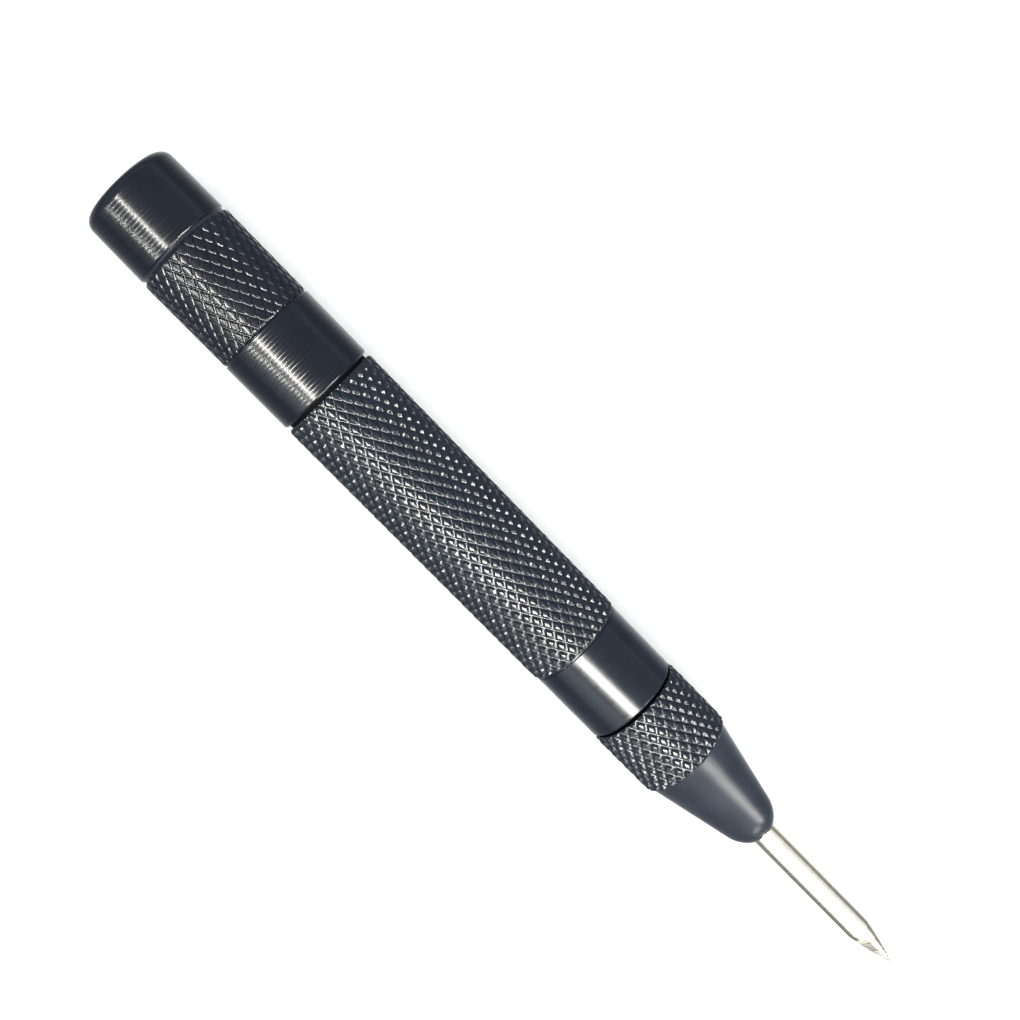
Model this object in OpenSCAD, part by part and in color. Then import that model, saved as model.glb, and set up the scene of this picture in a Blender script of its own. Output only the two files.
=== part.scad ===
// Spring-loaded automatic center punch, lying along X.
// The origin is the very point of the punch pin, +X runs along the axis to the cap's end, and +Z is up.
// Every piece is a lathe-turned solid given as a half outline of [radius, x] points, or a coiled wire.

/* [Length of each visible band, from the point to the cap] */
// How far the punch pin stands out of the nose
pin_out_l = 24.5; // [22:0.1:27]
// Cone of the nose
cone_l = 13.8; // [12:0.1:16]
// Knurled grip of the nose
nose_grip_l = 9.35; // [8:0.05:11]
// Seam between the nose and the barrel
nose_seam = 0.3; // [0.2:0.05:0.5]
// Smooth band at the front of the barrel
front_band_l = 9.85; // [9:0.05:12]
// Knurled grip of the barrel
grip_l = 40.65; // [38:0.05:46]
// Open seam between the barrel and the cap
cap_seam = 0.45; // [0.4:0.05:0.8]
// Smooth band at the front of the cap
cap_band_l = 9.4; // [8:0.1:12]
// Knurled band of the cap
cap_grip_l = 12.4; // [10:0.1:14]
// Turned groove behind the cap's knurl
cap_groove_l = 0.35; // [0.3:0.05:1]
// Smooth end of the cap
cap_end_l = 8.95; // [8:0.05:11]

/* [Diameters] */
// Knurled grip of the barrel, the widest place
grip_d = 12.6; // [12.5:0.1:13.2]
// Smooth band at the front of the barrel
front_band_d = 12.2; // [11.9:0.05:12.5]
// Knurled grip of the nose
nose_grip_d = 12.5; // [12.1:0.05:12.6]
// Wide end of the nose cone
cone_d = 11.6; // [11:0.1:11.8]
// Narrow end of the nose cone, before its rounding
cone_tip_d = 5.95; // [5.5:0.05:6.5]
// Smooth band at the front of the cap
cap_band_d = 12.5; // [12.2:0.05:12.6]
// Knurled band of the cap
cap_grip_d = 12.4; // [12.2:0.05:12.5]
// Smooth end of the cap
cap_end_d = 12.2; // [11.8:0.05:12.3]
// Part of the punch pin that stands out
nib_d = 3.1; // [2.9:0.05:3.2]

/* [Mechanism] */
// How far the punch pin goes in before the hammer is let go
stroke = 9; // [7:0.5:9]
// Tilt of the drive pin at rest, which keeps its tail beside the hammer's hole
tilt = 2; // [1.8:0.1:2.1]
// Diameter of the hammer
hammer_d = 8.4; // [8.2:0.1:8.4]
// Length of the hammer's body
hammer_l = 20; // [17:0.5:21]
// Coils of the main spring
main_turns = 13; // [10:1:15]
// Wire of the main spring
main_wire_d = 1.1; // [0.9:0.05:1.15]
// Coils of the return spring
return_turns = 9; // [7:1:11]
// Wire of the return spring
return_wire_d = 0.45; // [0.35:0.05:0.45]

/* [Hidden] */

round_fn = 96;

black_steel = [0.13, 0.14, 0.17];
bright_steel = [0.82, 0.81, 0.77];
tool_steel = [0.55, 0.55, 0.57];
spring_steel = [0.42, 0.43, 0.46];

// Stations along X, worked out from the bands
nose_x = pin_out_l;
ring_x = nose_x + cone_l;
nose_back_x = ring_x + nose_grip_l;
barrel_x = nose_back_x + nose_seam;
grip_x = barrel_x + front_band_l;
barrel_back_x = grip_x + grip_l;
cap_x = barrel_back_x + cap_seam;
cap_grip_x = cap_x + cap_band_l;
groove_x = cap_grip_x + cap_grip_l;
cap_end_x = groove_x + cap_groove_l;
tool_l = cap_end_x + cap_end_l;

// Small edges
edge = 0.25;
relief = 0.15;
rub = 0.05;

// Punch pin and its guide in the nose
nib_r = nib_d / 2;
point_l = 6.3;
point_blunt_r = 0.08;
point_slope = 0.315;
guide_r = nib_r + 0.2;
guide_bore_r = guide_r + rub;
guide_l = 9.6;
pin_collar_r = 3.1;
pin_collar_l = 2.45;
pin_body_r = 2.25;
pin_body_l = 5.5;

// Room inside the nose and the front of the barrel
chamber_r = 3.4;
chamber_x = nose_x + guide_l;
nose_thread_r = 5;
nose_thread_l = 8.35;
nose_round_r = 4.5;
nose_round_a = 50.5;
thread_root = 0.35;
thread_lead = 0.4;
chamber_room = 21.5;
web_x = chamber_x + chamber_room + stroke;
web_l = 7.5;
web_r = 2.3;
web_mouth_r = 2.95;
web_cone_l = 4;

// Drive pin, as it lies straight on the axis, measured from its round front
drive_x = chamber_x + rub + pin_collar_l + pin_body_l + rub;
drive_l = web_x + web_l - rub * 3 - drive_x;
drive_collar_x = 2.9;
drive_collar_l = 1.5;
drive_body_r = 2.15;
drive_neck_r = 1.7;
drive_tail_r = 1.1;
drive_tail_l = 6.3;
drive_neck_l = 6.5;
drive_dome_r = 2.6;

// Hammer, its hole and the barrel's long bore
hammer_x = web_x + web_l + rub;
hammer_r = hammer_d / 2;
hammer_bore_r = hammer_r + 0.1;
hammer_hole_r = 1.4;
hammer_hole_l = 12;
drill_tip = 0.6;
spigot_r = 2.7;
spigot_l = 3;

// Cap, its thread and the spring seat under its end
cap_thread_r = 5.2;
cap_thread_l = 12.5;
cap_thread_gap = 0.07;
cap_thread_over = 1.5;
collar_r = 5.7;
collar_l = 0.85;
cap_mouth_l = 0.75;
cap_wall_end = 4;
cap_bore_r = 4.4;
cap_corner_r = 1.4;
cap_taper = 0.1;
seat_r = 4.2;
seat_l = 1.95;
seat_crown_r = 20;

// Springs
main_x = hammer_x + hammer_l;
seat_back_x = tool_l - cap_wall_end - rub;
seat_x = seat_back_x - seat_l;
main_coil_r = 3.55;
return_x = drive_x + drive_collar_x + drive_collar_l;
return_front_r = 2.65;
return_back_r = 3.12;
wire_sides = 8;
steps_per_turn = 20;

// Points of an arc in an outline: centre [r, x], radius, start and end angle from the radial way towards +X
function arc(centre, radius, from, to, steps = 8) = [
    for (i = [0 : steps])
        let (a = from + (to - from) * i / steps)
            [centre[0] + radius * cos(a), centre[1] + radius * sin(a)]
];

// A solid turned about X from its half outline
module turned(outline) {
    rotate([0, 90, 0])
        rotate_extrude($fn = round_fn)
            polygon(outline);
}

// Radius of the punch point at x: a slightly rounded cone that meets the nib at point_l
function point_radius(x) =
    let (bend = (point_slope * point_l - nib_r + point_blunt_r) / (point_l * point_l))
        point_blunt_r + point_slope * x - bend * x * x;

// A coiled wire along X between two faces, with closed coils at its ends
module coil(x0, x1, r0, r1, wire_r, turns) {
    steps = turns * steps_per_turn;
    closed = 1.25;
    span = x1 - x0 - 2 * wire_r;
    // Share of the free length that the wire has climbed after t turns
    function climb(t) =
        let (end_rise = 2 * wire_r * closed * 1.02, rest = span - 2 * end_rise, back = turns - closed)
            t < closed ? end_rise * t / closed
            : t > back ? span - end_rise * (turns - t) / closed
            : end_rise + rest * (t - closed) / (turns - 2 * closed);
    rings = [
        for (i = [0 : steps])
            let (t = i / steps_per_turn, a = 360 * t, r = r0 + (r1 - r0) * i / steps)
                [for (k = [0 : wire_sides - 1])
                    let (b = 360 * k / wire_sides, rr = r + wire_r * cos(b))
                        [x0 + wire_r + climb(t) + wire_r * sin(b), rr * cos(a), rr * sin(a)]]
    ];
    points = [for (ring = rings) each ring];
    sides = [
        for (i = [0 : steps - 1], k = [0 : wire_sides - 1])
            let (a = i * wire_sides + k, b = i * wire_sides + (k + 1) % wire_sides)
                each [[a, b, b + wire_sides], [a, b + wire_sides, a + wire_sides]]
    ];
    first = [for (k = [wire_sides - 1 : -1 : 0]) k];
    last = [for (k = [0 : wire_sides - 1]) steps * wire_sides + k];
    polyhedron(points, concat(sides, [first], [last]), convexity = 20);
}

module nose_cone() {
    cone_a = atan((cone_d - cone_tip_d) / 2 / cone_l);
    round_x = nose_x + nose_round_r * sin(nose_round_a);
    // The rounding runs into the cone where both have the cone's slope
    meet_x = round_x - nose_round_r * sin(cone_a);
    meet_r = cone_tip_d / 2 + (meet_x - nose_x) * tan(cone_a);
    color(black_steel) turned(concat(
        [[guide_bore_r + relief / 2, nose_x]],
        arc([meet_r - nose_round_r * cos(cone_a), round_x], nose_round_r, -nose_round_a, -cone_a),
        [
            [cone_d / 2, ring_x - 0.1],
            [cone_d / 2 + 0.1, ring_x + 0.1],
            [nose_grip_d / 2 - edge, ring_x + 0.1],
            [nose_grip_d / 2, ring_x + 0.1 + edge],
            [nose_grip_d / 2, nose_back_x - edge],
            [nose_grip_d / 2 - edge, nose_back_x],
            [nose_thread_r - thread_root, nose_back_x],
            [nose_thread_r - thread_root, nose_back_x + 1.1],
            [nose_thread_r - rub, nose_back_x + 1.4],
            [nose_thread_r - rub, nose_back_x + nose_thread_l - thread_lead],
            [nose_thread_r - thread_lead, nose_back_x + nose_thread_l],
            [chamber_r, nose_back_x + nose_thread_l],
            [chamber_r, chamber_x],
            [guide_bore_r, chamber_x],
            [guide_bore_r, nose_x + relief / 2]
        ]
    ));
}

module punch_pin() {
    collar_x = chamber_x + rub;
    back_x = collar_x + pin_collar_l + pin_body_l;
    point_steps = 8;
    color(bright_steel) turned(concat(
        [[0, 0]],
        [for (i = [0 : point_steps]) let (x = point_l * i / point_steps) [point_radius(x), x]],
        [
            [nib_r, nose_x - rub],
            [guide_r, nose_x - rub + 0.02],
            [guide_r, collar_x],
            [pin_collar_r, collar_x],
            [pin_collar_r, collar_x + pin_collar_l - edge],
            [pin_collar_r - edge, collar_x + pin_collar_l],
            [pin_body_r, collar_x + pin_collar_l],
            [pin_body_r, back_x - edge],
            [pin_body_r - edge, back_x],
            [0, back_x]
        ]
    ));
}

module drive_pin() {
    dome_half_angle = asin(drive_body_r / drive_dome_r);
    shoulder_x = drive_l - drive_tail_l;
    color(tool_steel)
        translate([drive_x, 0, 0])
            rotate([0, tilt, 0])
                turned(concat(
                    arc([0, drive_dome_r], drive_dome_r, -90, dome_half_angle - 90),
                    [
                        [drive_body_r, drive_collar_x],
                        [pin_collar_r, drive_collar_x],
                        [pin_collar_r, drive_collar_x + drive_collar_l],
                        [drive_body_r, drive_collar_x + drive_collar_l],
                        [drive_body_r, shoulder_x - drive_neck_l],
                        [drive_neck_r, shoulder_x - drive_neck_l + 1],
                        [drive_neck_r, shoulder_x],
                        [drive_tail_r, shoulder_x],
                        [drive_tail_r, drive_l - edge],
                        [drive_tail_r - edge, drive_l],
                        [0, drive_l]
                    ]
                ));
}

module return_spring() {
    color(spring_steel)
        coil(return_x + rub, web_x, return_front_r, return_back_r, return_wire_d / 2, return_turns);
}

module barrel() {
    relief_r = front_band_d / 2 - relief;
    color(black_steel) turned([
        [nose_thread_r, barrel_x],
        [front_band_d / 2 - edge, barrel_x],
        [front_band_d / 2, barrel_x + edge],
        [front_band_d / 2, grip_x - 0.05],
        [relief_r, grip_x],
        [relief_r, grip_x + 0.15],
        [grip_d / 2 - edge, grip_x + 0.2],
        [grip_d / 2, grip_x + 0.2 + edge],
        [grip_d / 2, barrel_back_x - edge],
        [grip_d / 2 - edge, barrel_back_x],
        [collar_r, barrel_back_x],
        [collar_r, barrel_back_x + collar_l],
        [cap_thread_r - thread_root, barrel_back_x + collar_l],
        [cap_thread_r - thread_root, barrel_back_x + collar_l + 0.6],
        [cap_thread_r, barrel_back_x + collar_l + 0.9],
        [cap_thread_r, barrel_back_x + cap_thread_l - thread_lead],
        [cap_thread_r - thread_lead, barrel_back_x + cap_thread_l],
        [hammer_bore_r, barrel_back_x + cap_thread_l],
        [hammer_bore_r, web_x + web_l],
        [web_r, web_x + web_l],
        [web_r, web_x + web_cone_l],
        [web_mouth_r, web_x],
        [chamber_r, web_x],
        [chamber_r, nose_back_x + nose_thread_l],
        [nose_thread_r, nose_back_x + nose_thread_l]
    ]);
}

module hammer() {
    back_x = hammer_x + hammer_l;
    color(tool_steel) turned([
        [hammer_hole_r, hammer_x],
        [hammer_r - edge, hammer_x],
        [hammer_r, hammer_x + edge],
        [hammer_r, back_x - edge],
        [hammer_r - edge, back_x],
        [spigot_r, back_x],
        [spigot_r, back_x + spigot_l - edge],
        [spigot_r - edge, back_x + spigot_l],
        [0, back_x + spigot_l],
        [0, hammer_x + hammer_hole_l + hammer_hole_r * drill_tip],
        [hammer_hole_r, hammer_x + hammer_hole_l]
    ]);
}

module main_spring() {
    color(spring_steel)
        coil(main_x + rub, seat_x - rub, main_coil_r, main_coil_r, main_wire_d / 2, main_turns);
}

module spring_seat() {
    color(tool_steel) turned(concat(
        [
            [0, seat_x - spigot_l],
            [spigot_r - edge, seat_x - spigot_l],
            [spigot_r, seat_x - spigot_l + edge],
            [spigot_r, seat_x],
            [seat_r - edge, seat_x],
            [seat_r, seat_x + edge],
            [seat_r, seat_back_x - 1],
            [seat_r - edge, seat_back_x - 0.6]
        ],
        arc([0, seat_back_x - seat_crown_r], seat_crown_r, 80, 90, 4)
    ));
}

module end_cap() {
    end_r = cap_end_d / 2 - cap_taper;
    inner_end_x = tool_l - cap_wall_end;
    thread_end_x = barrel_back_x + cap_thread_l + cap_thread_over;
    color(black_steel) turned(concat(
        [
            [collar_r + cap_thread_gap, cap_x],
            [cap_band_d / 2 - edge, cap_x],
            [cap_band_d / 2, cap_x + edge],
            [cap_band_d / 2, cap_grip_x - 0.1],
            [cap_band_d / 2 - relief, cap_grip_x],
            [cap_band_d / 2 - relief, cap_grip_x + 0.1],
            [cap_grip_d / 2, cap_grip_x + 0.35],
            [cap_grip_d / 2, groove_x - 0.2],
            [cap_end_d / 2 - edge, groove_x],
            [cap_end_d / 2 - edge, cap_end_x],
            [cap_end_d / 2, cap_end_x + edge]
        ],
        arc([end_r - cap_corner_r, tool_l - cap_corner_r], cap_corner_r, 0, 84, 10),
        [
            [0, tool_l],
            [0, inner_end_x],
            [cap_bore_r, inner_end_x],
            [cap_bore_r, thread_end_x],
            [cap_thread_r + cap_thread_gap, thread_end_x],
            [cap_thread_r + cap_thread_gap, cap_x + cap_mouth_l],
            [collar_r + cap_thread_gap, cap_x + cap_mouth_l]
        ]
    ));
}

nose_cone();
punch_pin();
drive_pin();
return_spring();
barrel();
hammer();
main_spring();
spring_seat();
end_cap();
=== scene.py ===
"""Looks of a spring-loaded automatic center punch: turned and knurled black steel with a bright ground pin."""

import math

import bmesh
import bpy
import numpy as np
from mathutils import Matrix, Vector

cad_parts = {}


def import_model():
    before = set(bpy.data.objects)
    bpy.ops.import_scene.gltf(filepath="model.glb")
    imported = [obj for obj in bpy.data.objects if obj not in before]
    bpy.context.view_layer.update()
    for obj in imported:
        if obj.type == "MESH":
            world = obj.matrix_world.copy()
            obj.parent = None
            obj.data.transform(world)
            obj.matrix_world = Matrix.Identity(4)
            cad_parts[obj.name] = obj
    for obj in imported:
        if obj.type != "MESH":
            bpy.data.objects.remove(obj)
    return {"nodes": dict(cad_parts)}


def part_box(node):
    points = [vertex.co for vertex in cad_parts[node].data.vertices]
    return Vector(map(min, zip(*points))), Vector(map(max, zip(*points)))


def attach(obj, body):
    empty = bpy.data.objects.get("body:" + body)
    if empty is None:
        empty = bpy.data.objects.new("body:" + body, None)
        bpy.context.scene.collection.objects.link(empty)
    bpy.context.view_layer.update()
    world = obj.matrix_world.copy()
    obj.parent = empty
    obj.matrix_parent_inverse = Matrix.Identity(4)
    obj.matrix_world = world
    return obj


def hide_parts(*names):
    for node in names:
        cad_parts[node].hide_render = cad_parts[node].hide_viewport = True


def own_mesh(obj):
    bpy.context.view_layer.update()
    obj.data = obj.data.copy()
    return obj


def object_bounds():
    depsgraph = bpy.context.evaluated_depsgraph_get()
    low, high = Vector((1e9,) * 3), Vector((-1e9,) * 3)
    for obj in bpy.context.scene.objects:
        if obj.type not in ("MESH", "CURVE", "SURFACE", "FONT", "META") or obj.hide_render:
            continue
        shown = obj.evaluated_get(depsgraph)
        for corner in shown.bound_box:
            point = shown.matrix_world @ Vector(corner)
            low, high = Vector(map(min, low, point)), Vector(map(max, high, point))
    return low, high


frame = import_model()
CAD_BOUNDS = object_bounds()
MM = 0.001


def station(node, end):
    """Lowest (end 0) or highest (end 1) x of a CAD node at rest, in millimetres."""
    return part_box(node)[end].x / MM


# ---------------------------------------------------------------- sizes, in millimetres

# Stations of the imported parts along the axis
NOSE_X = station("nose_cone", 0)
BARREL_X = station("barrel", 0)
BARREL_END_X = station("barrel", 1)  # the end of its rear thread, inside the cap
CAP_X = station("end_cap", 0)
TOOL_L = station("end_cap", 1)
NOSE_BACK_X = BARREL_X - 0.3  # the nose's knurl stops short of the barrel by its seam

# Lengths of the bands, from the nose to the cap's end
NOSE_GRIP_L = 9.35
FRONT_BAND_L = 9.85
GRIP_L = 40.65
CAP_BAND_L = 9.4
CAP_GRIP_L = 12.4
CAP_GROOVE_L = 0.35

# Outer radii
GRIP_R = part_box("barrel")[1].z / MM
FRONT_BAND_R = 6.1
NOSE_GRIP_R = 6.25
CONE_R = 5.8
CONE_TIP_R = 2.975  # where the cone's straight flank would reach the nose's front
CAP_BAND_R = 6.25
CAP_GRIP_R = 6.2
CAP_END_R = 6.1
CAP_TAPER = 0.1  # how much smaller the cap gets over its end band
NIB_R = 1.55
GUIDE_R = 1.75

# Details that several pieces share
EDGE = 0.25  # chamfers
RELIEF = 0.15  # steps and grooves beside the knurls
RUB = 0.05  # play between sliding or screwed parts
KNURL_FOOT = 0.32  # depth of the end faces of the nose's and the barrel's knurls
THREAD_PITCH = 1.0
THREAD_DEPTH = 0.4

# Inside, and the joint between barrel and cap
COLLAR_R = 5.7
COLLAR_L = 0.85
CAP_MOUTH_L = 0.75
CAP_THREAD_R = 5.27
NOSE_THREAD_R = 5.0
NOSE_THREAD_L = 8.35
CHAMBER_R = 3.4
CHAMBER_X = NOSE_X + 9.6
WEB_X = CHAMBER_X + 30.5
AXIS_HOLE_R = 0.02  # the last ring before a mesh closes on the axis

COARSE = 120  # columns round a plain turned surface
CELLS = 5  # mesh cells from a knurl's groove to its crest


# ---------------------------------------------------------------- turned meshes


def row(x, r, columns=COARSE, wear_and_painted_light=0.0):
    """One ring of a turned mesh: its x and radius may vary round the axis."""
    ones = np.ones(columns)
    return {"x": x * ones, "r": r * ones, "wear_and_painted_light": wear_and_painted_light * ones}


def rounded(points, radius=0.06, steps=3):
    """The outline with each inner corner replaced by a short curve that starts radius before it."""
    made = [points[0]]
    for before, corner, after in zip(points, points[1:], points[2:]):
        b, c, a = (np.array(p, float) for p in (before, corner, after))
        back, on = b - c, a - c
        reach = min(radius, 0.4 * np.linalg.norm(back), 0.4 * np.linalg.norm(on))
        start = c + back / np.linalg.norm(back) * reach
        end = c + on / np.linalg.norm(on) * reach
        for i in range(steps + 1):
            t = i / steps
            made.append(tuple((1 - t) ** 2 * start + 2 * t * (1 - t) * c + t * t * end))
    made.append(points[-1])
    return made


def plain_rows(points, columns=COARSE, radius=0.06):
    """Rings of a plain turned outline, given as (x, r) points."""
    return [row(x, r, columns) for x, r in rounded(points, radius)]


def arc_points(centre, radius, start, end, steps=8):
    """(x, r) points of an arc, with angles measured from the radial way towards +X."""
    angles = [start + (end - start) * i / steps for i in range(steps + 1)]
    return [
        (centre[0] + radius * math.sin(math.radians(a)), centre[1] + radius * math.cos(math.radians(a)))
        for a in angles
    ]


def knurl_rows(x0, x1, crest_r, ridges, pitch, edge_cell, shift=0, chamfer=EDGE, crown=0.0):
    """Diamond knurl of two crossing families of grooves, edge_cell mesh cells from groove to crest.

    The crests have sharp borders and are flat, or domed by crown.
    """
    per_pitch = 2 * CELLS
    slant = math.atan2(2 * math.pi * crest_r / ridges, pitch)
    depth = pitch * math.sin(slant) * edge_cell / per_pitch
    count = round((x1 - x0) * per_pitch / pitch)
    columns = per_pitch * ridges
    around = np.arange(columns)
    rows = []
    for i in range(count + 1):
        x = x0 + (x1 - x0) * i / count
        share = [(around + shift + way * i) % per_pitch for way in (1, -1)]
        cells = np.minimum(*[np.minimum(s, per_pitch - s) for s in share])
        height = np.minimum(1, cells / edge_cell)
        dome = crown * np.clip((CELLS - cells) / (CELLS - edge_cell), 0, 1) ** 2
        limit = min(crest_r, crest_r - chamfer + min(x - x0, x1 - x))
        made = row(x, 1.0, columns)
        made["r"] = np.minimum(limit, crest_r - dome - depth * (1 - height))
        made["wear_and_painted_light"] = height
        rows.append(made)
    return rows


def thread_rows(x0, x1, crest_r, columns=COARSE):
    """A right-handed thread as a helix of trapezoid section, run out at both ends."""
    steps = round((x1 - x0) / THREAD_PITCH * 8)
    turn = np.arange(columns) / columns
    rows = []
    for i in range(steps + 1):
        x = x0 + (x1 - x0) * i / steps
        share = (x / THREAD_PITCH - turn) % 1.0
        ridge = np.clip(3.4 * np.abs(share - 0.5) - 0.35, 0, 1)
        run_out = min(1.0, (x - x0) / 0.5, (x1 - x) / 0.5)
        made = row(x, 1.0, columns)
        made["r"] = crest_r - THREAD_DEPTH * (1 - (1 - ridge) * run_out)
        rows.append(made)
    return rows


def threaded_end(x0, end_x, thread_r, inside):
    """A thread from x0 to the chamfered end of its piece, then the (x, r) points of the piece's inside."""
    chamfer = [(end_x - 0.35, thread_r - THREAD_DEPTH), (end_x, thread_r - 0.6)]
    return thread_rows(x0, end_x - 0.4, thread_r) + plain_rows(chamfer + inside)


# One turn of the lathe's feed, as (share of the feed, share of the depth): a long fall and a quick rise
FEED_MARK = ((0, 0), (0.3, 0.4), (0.6, 0.82), (0.68, 0.94), (0.75, 1), (0.82, 0.68), (0.9, 0.25), (0.96, 0.04))


def ring_rows(x0, x1, r0, r1, seed, feed=0.46, depth=0.014):
    """A smooth band as the lathe left it: fine rings of uneven depth, one for each turn of the feed."""
    rng = np.random.default_rng(seed)
    rings = max(1, round((x1 - x0) / feed))
    rows = []
    for ring in range(rings):
        deep = depth * rng.uniform(0.6, 1.2)
        for share, fall in FEED_MARK:
            along = (ring + share) / rings
            rows.append(row(x0 + (x1 - x0) * along, r0 + (r1 - r0) * along - deep * fall))
    rows.append(row(x1, r1))
    return rows


def stitch(a, b, start_a, start_b, radii_a, radii_b):
    """Triangles or quads between two rings that may have different numbers of points."""
    if a == b:
        faces = []
        for j in range(a):
            k = (j + 1) % a
            corners = [start_a + j, start_b + j, start_b + k, start_a + k]
            # A ridge or groove runs along the diagonal whose ends are level
            along = abs(radii_a[j] - radii_b[k])
            across = abs(radii_b[j] - radii_a[k])
            if max(along, across) < 1e-6:
                faces.append(corners)
            elif along < across:
                faces += [[corners[0], corners[1], corners[2]], [corners[0], corners[2], corners[3]]]
            else:
                faces += [[corners[0], corners[1], corners[3]], [corners[1], corners[2], corners[3]]]
        return faces
    faces, i, j = [], 0, 0
    while i < a or j < b:
        if j >= b or (i < a and (i + 1) / a <= (j + 1) / b):
            faces.append([start_a + i % a, start_b + j % b, start_a + (i + 1) % a])
            i += 1
        else:
            faces.append([start_a + i % a, start_b + j % b, start_b + (j + 1) % b])
            j += 1
    return faces


def turned_mesh(name, rows, closed):
    """A mesh of revolution about X.

    closed joins the last ring to the first; otherwise both ends close on the axis.
    """
    points, wear_and_painted_light, faces, starts = [], [], [], []
    for ring in rows:
        n = len(ring["r"])
        angle = 2 * math.pi * np.arange(n) / n
        starts.append(len(wear_and_painted_light))
        points.append(np.stack([ring["x"], ring["r"] * np.cos(angle), ring["r"] * np.sin(angle)], 1))
        wear_and_painted_light += list(ring["wear_and_painted_light"])
    pairs = list(zip(range(len(rows) - 1), range(1, len(rows))))
    if closed:
        pairs.append((len(rows) - 1, 0))
    for a, b in pairs:
        faces += stitch(len(rows[a]["r"]), len(rows[b]["r"]), starts[a], starts[b], rows[a]["r"], rows[b]["r"])
    vertices = np.concatenate(points)
    if not closed:
        for ring, start in ((rows[0], starts[0]), (rows[-1], starts[-1])):
            n, middle = len(ring["r"]), len(vertices)
            vertices = np.vstack([vertices, [[ring["x"].mean(), 0, 0]]])
            wear_and_painted_light.append(0.0)
            for j in range(n):
                edge = [start + j, start + (j + 1) % n]
                faces.append((edge if start == 0 else edge[::-1]) + [middle])
    return make_object(name, vertices * MM, faces, wear_and_painted_light)


def make_object(name, vertices, faces, wear_and_painted_light=None):
    """A smooth-shaded object from its points and faces, with outward normals."""
    mesh = bpy.data.meshes.new(name)
    mesh.from_pydata([tuple(v) for v in vertices], [], faces)
    mesh.validate()
    if wear_and_painted_light is not None:
        # the attribute holds knurl crest wear with a painted glint, the pin's grinding marks, and painted shade at
        # its very point
        attribute = mesh.attributes.new("wear_and_painted_light", "FLOAT", "POINT")
        attribute.data.foreach_set("value", np.array(wear_and_painted_light, np.float32))
    made = bpy.data.objects.new(name, mesh)
    bpy.context.scene.collection.objects.link(made)
    if signed_volume(mesh) < 0:
        mesh.flip_normals()
    mesh.polygons.foreach_set("use_smooth", [True] * len(mesh.polygons))
    if wear_and_painted_light is not None:
        crease_crests(mesh, np.array(wear_and_painted_light) > 0.999)
    mesh.update()
    return made


def crease_crests(mesh, on_crest):
    """Makes the borders of a knurl's flat crests sharp, and leaves its grooves smooth."""
    shape = bmesh.new()
    shape.from_mesh(mesh)
    crest = [all(on_crest[v.index] for v in face.verts) for face in shape.faces]
    for edge in shape.edges:
        sides = {crest[face.index] for face in edge.link_faces}
        edge.smooth = len(sides) == 1
    shape.to_mesh(mesh)
    shape.free()


def signed_volume(mesh):
    """Volume of a closed mesh, below zero if its normals point inwards."""
    mesh.calc_loop_triangles()
    corners = np.zeros(len(mesh.loop_triangles) * 3, np.int64)
    mesh.loop_triangles.foreach_get("vertices", corners)
    co = np.zeros(len(mesh.vertices) * 3)
    mesh.vertices.foreach_get("co", co)
    a, b, c = (co.reshape(-1, 3)[corners.reshape(-1, 3)[:, k]] for k in range(3))
    return float(np.einsum("ij,ij->i", a, np.cross(b, c)).sum() / 6)


def keep_flats(piece):
    """Lets the large faces set the shading, so that only the narrow corners look rounded."""
    weighted = piece.modifiers.new("weighted", "WEIGHTED_NORMAL")
    weighted.mode = "FACE_AREA"
    weighted.weight = 60
    weighted.keep_sharp = True


# ---------------------------------------------------------------- pieces


# The knurl that the nose and the barrel share
BODY_KNURL = {"ridges": 30, "pitch": 2.04, "edge_cell": 3, "crown": 0.02}


def nose_cone():
    """Cone with a rounded front, knurled grip, and the thread that screws into the barrel."""
    back_x = NOSE_BACK_X
    ring_x = back_x - NOSE_GRIP_L
    grip_x = ring_x + 0.1
    end_x = back_x + NOSE_THREAD_L
    thread_r = NOSE_THREAD_R - RUB
    relief_r = thread_r - 0.45
    bore_r = GUIDE_R + RUB
    round_r, round_a = 4.5, 50.5  # the rounded front's radius, and its angle from radial at the very front
    slope = (CONE_R - CONE_TIP_R) / (ring_x - NOSE_X)
    cone_a = math.degrees(math.atan(slope))
    round_x = NOSE_X + round_r * math.sin(math.radians(round_a))
    meet_x = round_x - round_r * math.sin(math.radians(cone_a))
    meet_r = CONE_TIP_R + (meet_x - NOSE_X) * slope
    centre = (round_x, meet_r - round_r * math.cos(math.radians(cone_a)))
    front = [(NOSE_X + RELIEF / 2, bore_r), (NOSE_X, bore_r + RELIEF / 2)]
    front += arc_points(centre, round_r, -round_a, -cone_a, 10)
    front += [(ring_x - 3, CONE_R - 2.9 * slope), (ring_x - 0.1, CONE_R)]
    front += [(grip_x, CONE_R + 0.1), (grip_x, NOSE_GRIP_R - KNURL_FOOT)]
    rows = plain_rows(front, radius=0.05)
    rows += knurl_rows(grip_x, back_x, NOSE_GRIP_R, **BODY_KNURL)
    rows += plain_rows([(back_x, NOSE_GRIP_R - KNURL_FOOT), (back_x, relief_r), (back_x + 1.1, relief_r)])
    rows += threaded_end(back_x + 1.15, end_x, thread_r, [
        (end_x, CHAMBER_R), (CHAMBER_X, CHAMBER_R), (CHAMBER_X, bore_r), (NOSE_X + RELIEF, bore_r),
    ])
    made = turned_mesh("nose_cone_turned", rows, closed=True)
    return finish_piece(made, "handle", "nose_cone")


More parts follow.
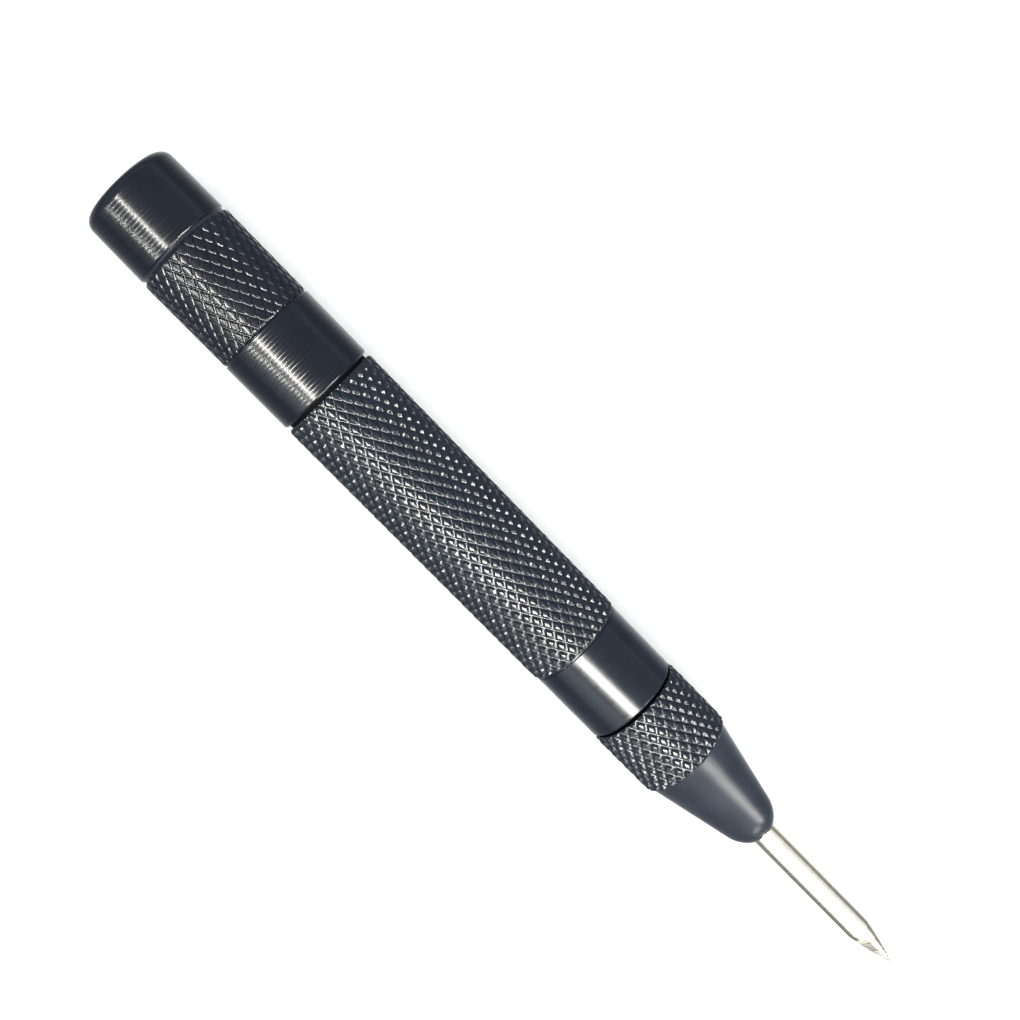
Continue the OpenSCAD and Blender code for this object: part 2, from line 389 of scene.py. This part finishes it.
def barrel():
    """Smooth front band, long knurl, collar and rear thread, with the web between its two bores."""
    grip_x = BARREL_X + FRONT_BAND_L
    back_x = grip_x + GRIP_L
    collar_end_x = back_x + COLLAR_L
    thread_r, bore_r, web_r, mouth_r = 5.2, 4.3, 2.3, 2.95
    relief_r = thread_r - 0.42
    seat_x, web_end_x = NOSE_BACK_X + NOSE_THREAD_L, WEB_X + 7.5
    rows = plain_rows([
        (BARREL_X + 0.05, NOSE_THREAD_R), (BARREL_X, NOSE_THREAD_R + 0.05), (BARREL_X, FRONT_BAND_R - EDGE),
        (BARREL_X + EDGE, FRONT_BAND_R), (BARREL_X + 3, FRONT_BAND_R), (BARREL_X + 6, FRONT_BAND_R),
        (grip_x - 0.05, FRONT_BAND_R), (grip_x, FRONT_BAND_R - RELIEF), (grip_x + 0.15, FRONT_BAND_R - RELIEF),
        (grip_x + 0.2, GRIP_R - KNURL_FOOT),
    ])
    rows += knurl_rows(grip_x + 0.2, back_x, GRIP_R, **BODY_KNURL)
    rows += plain_rows([
        (back_x, GRIP_R - KNURL_FOOT), (back_x, COLLAR_R), (collar_end_x, COLLAR_R),
        (collar_end_x, relief_r), (collar_end_x + 0.5, relief_r),
    ])
    rows += threaded_end(collar_end_x + 0.55, BARREL_END_X, thread_r, [
        (BARREL_END_X, bore_r), (web_end_x, bore_r), (web_end_x, web_r), (WEB_X + 4, web_r), (WEB_X, mouth_r),
        (WEB_X, CHAMBER_R), (seat_x, CHAMBER_R), (seat_x, NOSE_THREAD_R), (BARREL_X + 0.1, NOSE_THREAD_R),
    ])
    made = turned_mesh("barrel_turned", rows, closed=True)
    return finish_piece(made, "handle", "barrel")


def end_cap():
    """Ringed band, knurl, groove and ringed end band with a rounded corner; bored and threaded from its mouth."""
    grip_x = CAP_X + CAP_BAND_L
    groove_x = grip_x + CAP_GRIP_L
    end_x = groove_x + CAP_GROOVE_L
    thread_end_x, bore_r, inner_end_x = CAP_X + 13.55, 4.4, TOOL_L - 4
    mouth_r, mouth_x = COLLAR_R + 0.07, CAP_X + CAP_MOUTH_L
    corner_r = 1.4
    rows = plain_rows([(CAP_X, mouth_r), (CAP_X, CAP_BAND_R - EDGE), (CAP_X + EDGE, CAP_BAND_R)])
    rows += ring_rows(CAP_X + EDGE + 0.02, grip_x - 0.1, CAP_BAND_R, CAP_BAND_R, seed=11)
    rows += plain_rows([
        (grip_x - 0.08, CAP_BAND_R), (grip_x, CAP_BAND_R - RELIEF),
        (grip_x + 0.1, CAP_BAND_R - RELIEF), (grip_x + 0.1, CAP_GRIP_R - 0.31),
    ])
    rows += knurl_rows(grip_x + 0.1, groove_x, CAP_GRIP_R, ridges=32, pitch=2.17, edge_cell=2, shift=2, crown=0.01)
    rows += plain_rows([
        (groove_x, CAP_GRIP_R - 0.4), (end_x, CAP_END_R - 0.3), (end_x, CAP_END_R - EDGE),
        (end_x + EDGE, CAP_END_R),
    ])
    rows += ring_rows(end_x + EDGE + 0.02, TOOL_L - corner_r, CAP_END_R, CAP_END_R - CAP_TAPER, seed=12)
    corner = arc_points((TOOL_L - corner_r, CAP_END_R - CAP_TAPER - corner_r), corner_r, 4, 84, 12)
    rows += [row(x, r) for x, r in corner]
    rows += plain_rows([(TOOL_L - 0.003, 3.0), (TOOL_L, 0.9), (TOOL_L, AXIS_HOLE_R)], radius=0.3)
    inside = plain_rows([
        (inner_end_x, AXIS_HOLE_R), (inner_end_x, bore_r), (thread_end_x, bore_r),
        (thread_end_x, CAP_THREAD_R), (mouth_x, CAP_THREAD_R), (mouth_x, mouth_r), (CAP_X + 0.05, mouth_r),
    ])
    made = turned_mesh("end_cap_turned", inside + rows, closed=False)
    return finish_piece(made, "cap", "end_cap")


# Strength of the grinding marks along the point, and at its very end of the painted shade of the blunt tip, as
# (share of the point's length, strength)
GRIND_MARKS_AND_TIP_SHADE = ((0, 0.9), (0.08, 0.8), (0.16, 0.45), (0.35, 0.55), (0.48, 0.9), (0.66, 0.9), (0.84, 0.4), (0.9, 0))


def punch_pin():
    """Pin with a long roughly ground point, a collar inside the nose and a short tail behind it."""
    point_l, blunt_r, slope = 6.3, 0.08, 0.315
    bend = (slope * point_l - NIB_R + blunt_r) / point_l**2
    collar_x = CHAMBER_X + RUB
    collar_r, body_r = 3.1, 2.25
    body_x, back_x = collar_x + 2.45, collar_x + 7.95
    rng = np.random.default_rng(3)
    waves = [(rng.integers(2, 14), rng.uniform(3, 20), rng.uniform(0, 6.28)) for _ in range(14)]
    turn = 2 * math.pi * np.arange(COARSE) / COARSE
    ground_turn, shaded_point_l = 0.52, 0.5  # the marks lie round this turn; all round the very point they paint the shade of its blunt end
    deepest, steps = 0.08, 70
    rows = [row(0.0, AXIS_HOLE_R)]
    for i in range(1, steps + 1):
        x = point_l * i / steps
        made = row(x, blunt_r + slope * x - bend * x * x)
        mark = sum(np.sin(k * turn + q * x + phase) for k, q, phase in waves) / len(waves)
        bite = deepest * min(1, x / 0.8) * max(0.0, 1 - x / point_l) ** 0.5
        made["r"] = made["r"] - bite * np.maximum(0, mark * 2.2) - 0.2 * bite
        # painted shade: all round the very point the marks stand in for the shade of its blunt end
        marked_and_tip_shade = 1.0 if x < shaded_point_l else np.clip(6 * np.cos(turn - ground_turn) - 2.7, 0, 1)
        strength = np.interp(x / point_l, *zip(*GRIND_MARKS_AND_TIP_SHADE))
        made["wear_and_painted_light"] = np.clip(strength * (1 + 1.5 * mark), 0, 0.95) * marked_and_tip_shade
        rows.append(made)
    rows += plain_rows([
        (point_l + 0.1, NIB_R), (point_l + 6, NIB_R), (NOSE_X - 3, NIB_R), (NOSE_X - RUB, NIB_R),
        (NOSE_X - RUB + 0.02, GUIDE_R), (collar_x, GUIDE_R), (collar_x, collar_r), (body_x - EDGE, collar_r),
        (body_x, collar_r - EDGE), (body_x, body_r), (back_x - EDGE, body_r), (back_x, body_r - EDGE),
        (back_x, AXIS_HOLE_R),
    ])
    made = turned_mesh("punch_pin_ground", rows, closed=False)
    return finish_piece(made, "point", "punch_pin")


def spring(node, body, r0, r1, wire_r, turns):
    """A coil of round wire in its CAD node's place, with closed end coils.

    Its middle radius goes from r0 to r1.
    """
    x0, x1 = station(node, 0), station(node, 1)
    closed_turns, sides, per_turn = 1.25, 14, 48
    steps = int(turns * per_turn)
    span = x1 - x0 - 2 * wire_r
    end_rise = 2 * wire_r * closed_turns * 1.02
    t = np.arange(steps + 1) / per_turn
    middle = end_rise + (span - 2 * end_rise) * (t - closed_turns) / (turns - 2 * closed_turns)
    climb = np.where(t < closed_turns, end_rise * t / closed_turns, middle)
    climb = np.where(t > turns - closed_turns, span - end_rise * (turns - t) / closed_turns, climb)
    r = r0 + (r1 - r0) * t / turns
    side = 2 * math.pi * np.arange(sides) / sides
    points = []
    for along, radius, angle in zip(climb, r, 2 * math.pi * t):
        ring_r = radius + wire_r * np.cos(side)
        points.append(np.stack([
            x0 + wire_r + along + wire_r * np.sin(side), ring_r * math.cos(angle), ring_r * math.sin(angle),
        ], 1))
    faces = []
    for i in range(steps):
        for k in range(sides):
            a, b = i * sides + k, i * sides + (k + 1) % sides
            faces.append([a, b, b + sides, a + sides])
    faces.append(list(range(sides))[::-1])
    faces.append([steps * sides + k for k in range(sides)])
    made = make_object(f"{node}_wire", np.concatenate(points) * MM, faces)
    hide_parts(node)
    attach(made, body)
    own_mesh(made)
    return made


def finish_piece(piece, body, node):
    """Shades a turned piece and says what it rides on and replaces."""
    keep_flats(piece)
    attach(piece, body)
    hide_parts(node)
    return piece


# ---------------------------------------------------------------- materials


class Nodes:
    """The node tree of a material, world or lamp, with short ways to add and link nodes."""

    def __init__(self, owner, shader="Principled BSDF"):
        owner.use_nodes = True
        self.owner = owner
        self.tree = owner.node_tree
        self.shader = self.tree.nodes[shader]

    def add(self, kind, **settings):
        """A new node, with each setting put on its socket of that name or else on the node."""
        node = self.tree.nodes.new(kind)
        for key, value in settings.items():
            if key in node.inputs:
                node.inputs[key].default_value = value
            else:
                setattr(node, key, value)
        return node

    def link(self, source, target):
        self.tree.links.new(source, target)

    def noise(self, scale, stretch=(1, 1, 1), detail=3.0, roughness=0.55):
        """Noise over the piece's own coordinates, which are first multiplied by stretch."""
        place = self.add("ShaderNodeTexCoord")
        mapping = self.add("ShaderNodeMapping", Scale=stretch)
        self.link(place.outputs["Object"], mapping.inputs["Vector"])
        node = self.add("ShaderNodeTexNoise", Scale=scale, Detail=detail, Roughness=roughness)
        self.link(mapping.outputs["Vector"], node.inputs["Vector"])
        return node.outputs["Fac"]

    def ramp(self, value, low, high, dark, light):
        """A colour between dark, up to the value low, and light, from the value high."""
        node = self.add("ShaderNodeValToRGB")
        for element, position, colour in zip(node.color_ramp.elements, (low, high), (dark, light)):
            element.position = position
            element.color = (*colour, 1)
        self.link(value, node.inputs["Fac"])
        return node.outputs["Color"]

    def remap(self, value, low, high, to_low, to_high):
        """A value's range from low to high, made to run from to_low to to_high and held at both."""
        node = self.add("ShaderNodeMapRange")
        for key, number in zip(("From Min", "From Max", "To Min", "To Max"), (low, high, to_low, to_high)):
            node.inputs[key].default_value = number
        self.link(value, node.inputs["Value"])
        return node.outputs["Result"]

    def math(self, operation, a, b):
        node = self.add("ShaderNodeMath", operation=operation)
        self.link(a, node.inputs[0])
        self.link(b, node.inputs[1])
        return node.outputs["Value"]

    def mix(self, factor, base, colour):
        """The base with this much of a plain colour over it."""
        node = self.add("ShaderNodeMix", data_type="RGBA")
        self.link(factor, node.inputs[0])
        self.link(base, node.inputs[6])
        node.inputs[7].default_value = (*colour, 1)
        return node.outputs[2]

    def bump(self, height, distance, strength):
        node = self.add("ShaderNodeBump", Strength=strength, Distance=distance)
        self.link(height, node.inputs["Height"])
        self.link(node.outputs["Normal"], self.shader.inputs["Normal"])

    def shade(self, **values):
        """Sets or links the shader's sockets, whose names are given with _ for each space."""
        for name, value in values.items():
            socket = self.shader.inputs[name.replace("_", " ")]
            if isinstance(value, bpy.types.NodeSocket):
                self.link(value, socket)
            else:
                socket.default_value = value


# Knurl crests: rubbed lighter as wear, and also a painted glint standing in for the bright crest lines
CREST_RUB_AND_GLINT_TONE = (0.012, 0.016, 0.026)


def black_steel(name, tone, specular=0.22, roughness=(0.17, 0.23), line_bump=0.3):
    """Blue-black finish: very dark, a little uneven, with faint turning lines and crests rubbed lighter, which also
    paints a glint along the knurls' crests.
    """
    n = Nodes(bpy.data.materials.new(name))
    dark, light = (tuple(part * share for part in tone) for share in (0.8, 1.2))
    base = n.ramp(n.noise(260, detail=4), 0.3, 0.7, dark, light)
    crest_wear_and_glint = n.add("ShaderNodeAttribute", attribute_name="wear_and_painted_light").outputs["Fac"]
    patch = n.remap(n.noise(900, detail=2), 0.35, 0.7, 0.0, 1.0)
    # wear on the knurl crests, partly a painted glint of their bright crest lines
    rub_and_glint = n.math("MULTIPLY", n.remap(crest_wear_and_glint, 0.75, 1.0, 0.0, 0.5), patch)
    lines = n.noise(6000, stretch=(1, 0.02, 0.02), detail=2)
    n.shade(
        Base_Color=n.mix(rub_and_glint, base, CREST_RUB_AND_GLINT_TONE),
        Roughness=n.remap(lines, 0.3, 0.7, *roughness),
        Specular_IOR_Level=specular,
        Sheen_Weight=0.1,
        Sheen_Roughness=0.4,
        Sheen_Tint=(0.88, 0.93, 1.0, 1.0),
    )
    n.bump(lines, 0.000001, line_bump)
    return n.owner


def painted_seam_shade():
    """Painted shade in the bottom of a seam: near-black, dull and barely glossy, standing in for the shade in the
    narrow gap.
    """
    n = Nodes(bpy.data.materials.new("painted_seam_shade"))
    # painted shade: a near-black tone for the seam's bottom, where the gap would lie in shadow
    seam_shade_tone = n.ramp(n.noise(4000, detail=3), 0.3, 0.7, (0.0015, 0.002, 0.003), (0.003, 0.0035, 0.005))
    n.shade(Base_Color=seam_shade_tone, Roughness=0.7, Specular_IOR_Level=0.03)
    return n.owner


def bright_steel():
    """Ground steel with fine rings round it, and dull grey-brown grinding marks, which near the very point also
    paint the shade of its blunt end.
    """
    n = Nodes(bpy.data.materials.new("bright_steel"))
    lines = n.noise(5000, stretch=(1, 0.02, 0.02), detail=3)
    base = n.ramp(lines, 0.3, 0.7, (0.76, 0.72, 0.6), (0.92, 0.89, 0.8))
    marks_and_tip_shade = n.add("ShaderNodeAttribute", attribute_name="wear_and_painted_light").outputs["Fac"]
    n.shade(
        # grinding marks, and painted shade on the very point
        Base_Color=n.mix(marks_and_tip_shade, base, (0.16, 0.14, 0.11)),
        Metallic=n.remap(marks_and_tip_shade, 0.0, 0.25, 1.0, 0.0),
        Roughness=n.remap(lines, 0.3, 0.7, 0.16, 0.26),
        Specular_IOR_Level=0.05,
    )
    n.bump(lines, 0.000002, 0.4)
    return n.owner


def tool_steel():
    """Turned and hardened steel with a trace of oil."""
    n = Nodes(bpy.data.materials.new("tool_steel"))
    lines = n.noise(3000, stretch=(1, 0.04, 0.04), detail=2)
    base = n.ramp(lines, 0.3, 0.7, (0.36, 0.35, 0.34), (0.5, 0.5, 0.5))
    n.shade(Base_Color=base, Metallic=1.0, Roughness=n.remap(n.noise(240), 0.3, 0.7, 0.22, 0.4))
    n.bump(lines, 0.000008, 0.5)
    return n.owner


def spring_steel():
    """Drawn wire, darker, with die lines."""
    n = Nodes(bpy.data.materials.new("spring_steel"))
    cloud = n.noise(900, detail=3)
    base = n.ramp(cloud, 0.3, 0.7, (0.2, 0.205, 0.22), (0.36, 0.36, 0.37))
    n.shade(Base_Color=base, Metallic=1.0, Roughness=n.remap(cloud, 0.3, 0.7, 0.25, 0.42))
    n.bump(n.noise(5000), 0.000006, 0.4)
    return n.owner


def floor_paper():
    """Pale matt board."""
    n = Nodes(bpy.data.materials.new("floor_paper"))
    fibre = n.ramp(n.noise(900, detail=4), 0.3, 0.7, (0.82, 0.82, 0.82), (0.84, 0.84, 0.84))
    n.shade(Base_Color=fibre, Roughness=0.85, Specular_IOR_Level=0.15)
    return n.owner


# ---------------------------------------------------------------- camera, floor and light

CAMERA_MM = (101.085, -5.363, 157.87)
AIM_MM = (74.417, -5.367, 0.0)
ROLL = 45.687  # degrees from the tool's axis to the picture's right
LENS = 48.8
SENSOR = 36

# The picture's right and down, laid on the floor
RIGHT = Vector((-0.701, -0.713, 0.0))
DOWN = Vector((-0.713, 0.701, 0.0))
MIDDLE = Vector((0.065, 0.0, 0.0))

# Strengths of the room's light as reflections find it
ROOM_LEVEL = 1.0  # overhead
ROOM_EDGE = 0.24  # round the skyline
ROOM_DIM = 0.3  # taken away on the picture's upper side
ROOM_GLOW = 0.5  # added beyond the point


def camera():
    """Close camera over the tool, turned so that the point lies at the picture's lower right."""
    data = bpy.data.cameras.new("camera")
    data.lens = LENS
    data.sensor_width = SENSOR
    data.clip_start = 0.005
    made = bpy.data.objects.new("camera", data)
    bpy.context.scene.collection.objects.link(made)
    place, aim = (Vector(p) * MM for p in (CAMERA_MM, AIM_MM))
    forward = (aim - place).normalized()
    tipward = Vector((-1, 0, 0))
    tipward = (tipward - forward * tipward.dot(forward)).normalized()
    side = tipward.cross(forward)
    if side.y > 0:
        side = -side
    c, s = math.cos(math.radians(ROLL)), math.sin(math.radians(ROLL))
    right = c * tipward + s * side
    up = -s * tipward + c * side
    made.matrix_world = Matrix.Translation(place) @ Matrix((right, up, -forward)).transposed().to_4x4()
    bpy.context.scene.camera = made


def floor():
    """White ground under the tool, left out of its reflections."""
    low, half = CAD_BOUNDS[0].z, 3.0
    corners = [(-half, -half, low), (half, -half, low), (half, half, low), (-half, half, low)]
    mesh = bpy.data.meshes.new("floor")
    mesh.from_pydata(corners, [], [[0, 1, 2, 3]])
    made = bpy.data.objects.new("floor", mesh)
    bpy.context.scene.collection.objects.link(made)
    made.data.materials.append(floor_paper())
    made.visible_glossy = False


def lamp(name, right_deg, down_deg, distance, length, width, radiance, colour=(1, 1, 1), turn=0.0):
    """A rectangular lamp over the tool, its length along the picture's right, at these angles from straight up."""
    data = bpy.data.lights.new(name, "AREA")
    data.shape = "RECTANGLE"
    data.size, data.size_y = length, width
    data.energy = radiance * math.pi * length * width
    data.color = colour
    made = bpy.data.objects.new(name, data)
    bpy.context.scene.collection.objects.link(made)
    way = (
        Vector((0, 0, 1))
        + RIGHT * math.tan(math.radians(right_deg))
        + DOWN * math.tan(math.radians(down_deg))
    ).normalized()
    along = (RIGHT - way * RIGHT.dot(way)).normalized()
    along = Matrix.Rotation(math.radians(turn), 3, way) @ along
    place = Matrix((along, way.cross(along), way)).transposed().to_4x4()
    made.matrix_world = Matrix.Translation(MIDDLE + way * distance) @ place
    made.visible_camera = False
    return made


def fade_downwards(light):
    """Lets a lamp's light fall off evenly, from its upper edge in the picture to nothing at its lower edge."""
    n = Nodes(light.data, "Emission")
    split = n.add("ShaderNodeSeparateXYZ")
    n.link(n.add("ShaderNodeNewGeometry").outputs["Parametric"], split.inputs["Vector"])
    n.shade(Strength=split.outputs["Y"])


def lights():
    """Lamps that are only seen in reflections, and one without reflection or shadow for the ground.

    The first three draw the highlights of the cap, of the barrel's smooth band with its knurl, and the cap's second,
    fainter line. tip and front light the cone and the nose's knurl, and side lightens the tool's lower flank.
    """
    warm, distance = (1.0, 0.975, 0.9), 1.2
    strips = [
        lamp("key", -25.8, 13.4, distance, 0.48, 0.06, 162, warm, turn=-54.9),
        lamp("middle", -2.5, 24.7, distance, 0.75, 0.25, 100, warm, turn=4.7),
        lamp("second", -46, 33.8, distance, 0.55, 0.035, 145, warm, turn=16.3),
        lamp("tip", 50, 28, distance, 0.7, 0.14, 100, warm, turn=-8),
        lamp("front", 55, 61, distance, 0.5, 0.12, 60, warm, turn=45),
    ]
    side = lamp("side", 0, 64, distance, 2.4, 0.8, 3.4)
    fade_downwards(side)
    for light in (*strips, side):
        light.visible_diffuse = False
    fill = lamp("fill", 0, 0, 1.5, 2.5, 2.5, 2.1)
    fill.visible_glossy = False
    fill.data.use_shadow = False


def world():
    """White room light, seen as plain white by the camera.

    Reflections find it dark round the skyline and below, dimmer high up on the picture's upper side and brighter
    beyond the point.
    """
    made = bpy.data.worlds.new("room")
    bpy.context.scene.world = made
    n = Nodes(made, "Background")
    split = n.add("ShaderNodeSeparateXYZ")
    n.link(n.add("ShaderNodeTexCoord").outputs["Generated"], split.inputs["Vector"])
    x, y, z = split.outputs
    room = n.remap(z, 0.02, 0.14, ROOM_EDGE, ROOM_LEVEL)
    depth = n.math("ADD", z, n.remap(y, -0.2, 0.2, 0.0, 0.25))
    below = n.remap(depth, -0.35, -0.8, 0.0, ROOM_LEVEL - ROOM_EDGE)
    glow = n.math("MULTIPLY", n.remap(x, -0.1, -0.6, 0.0, ROOM_GLOW), n.remap(z, 0.3, 0.6, 0.0, 1.0))
    dim = n.math("MULTIPLY", n.remap(y, 0.1, -0.3, 0.0, 1.0), n.remap(z, 0.2, 0.42, 0.0, ROOM_DIM))
    bright = n.math("SUBTRACT", n.math("ADD", n.math("ADD", room, below), glow), dim)
    seen = n.add("ShaderNodeLightPath").outputs["Is Camera Ray"]
    n.shade(Color=(0.97, 0.985, 1.0, 1.0), Strength=n.math("MAXIMUM", bright, seen))


# ---------------------------------------------------------------- the scene

camera()
floor()
world()
lights()
scene = bpy.context.scene
scene.view_settings.view_transform = "Standard"
scene.view_settings.look = "None"

# The cap, the body of barrel and nose, its knurls and the cone differ a little in tone and gloss
BLACK, SOFT_BLACK, CONE_BLACK = (0.0048, 0.0072, 0.0129), (0.0064, 0.0108, 0.019), (0.0205, 0.0265, 0.0385)
CAP_COAT = black_steel("black_steel", BLACK)
BODY_COAT = black_steel("black_barrel", SOFT_BLACK)
KNURL_COAT = black_steel("black_knurled", SOFT_BLACK, specular=0.28)
SATIN_COAT = black_steel("black_satin", CONE_BLACK, specular=0.1, roughness=(0.295, 0.305), line_bump=0.0)
BRIGHT, TOOL, WIRE = bright_steel(), tool_steel(), spring_steel()
# the third coat is painted shade for the seam bottoms
OWN, SATIN, SEAM_SHADE, KNURL = range(4)
EXTRA_COATS = (SATIN_COAT, painted_seam_shade(), KNURL_COAT)

GROOVE_X = CAP_X + CAP_BAND_L + CAP_GRIP_L
# Bottoms of the seams, as their lowest and highest x and the radius below which they get the painted seam shade
SEAMS = (
    (CAP_X - 0.5, CAP_X + 1, COLLAR_R + 0.2), (NOSE_BACK_X - 0.02, BARREL_X + 0.1, FRONT_BAND_R - 0.2),
)


def coat_at(x, r):
    """The coat of a black piece at this station and radius."""
    if x < NOSE_BACK_X - NOSE_GRIP_L:
        return SATIN
    if GROOVE_X - 0.02 < x < GROOVE_X + CAP_GROOVE_L + 0.02 and r > CAP_THREAD_R + 0.1:
        return SATIN
    if any(low < x < high and r < top for low, high, top in SEAMS):
        # seam bottoms get the painted shade coat
        return SEAM_SHADE
    if x < NOSE_BACK_X or BARREL_X + FRONT_BAND_L < x < CAP_X:
        return KNURL
    return OWN


for piece, coat in ((nose_cone(), BODY_COAT), (barrel(), BODY_COAT), (end_cap(), CAP_COAT)):
    for material in (coat, *EXTRA_COATS):
        piece.data.materials.append(material)
    for face in piece.data.polygons:
        face.material_index = coat_at(face.center.x / MM, Vector(face.center.yz).length / MM)
punch_pin().data.materials.append(BRIGHT)
for piece in (
    spring("return_spring", "handle", 2.65, 3.12, wire_r=0.225, turns=9),
    spring("main_spring", "seat", 3.55, 3.55, wire_r=0.55, turns=13),
):
    piece.data.materials.append(WIRE)
for node in ("drive_pin", "hammer", "spring_seat"):
    piece = frame["nodes"][node]
    piece.data.materials.clear()
    piece.data.materials.append(TOOL)
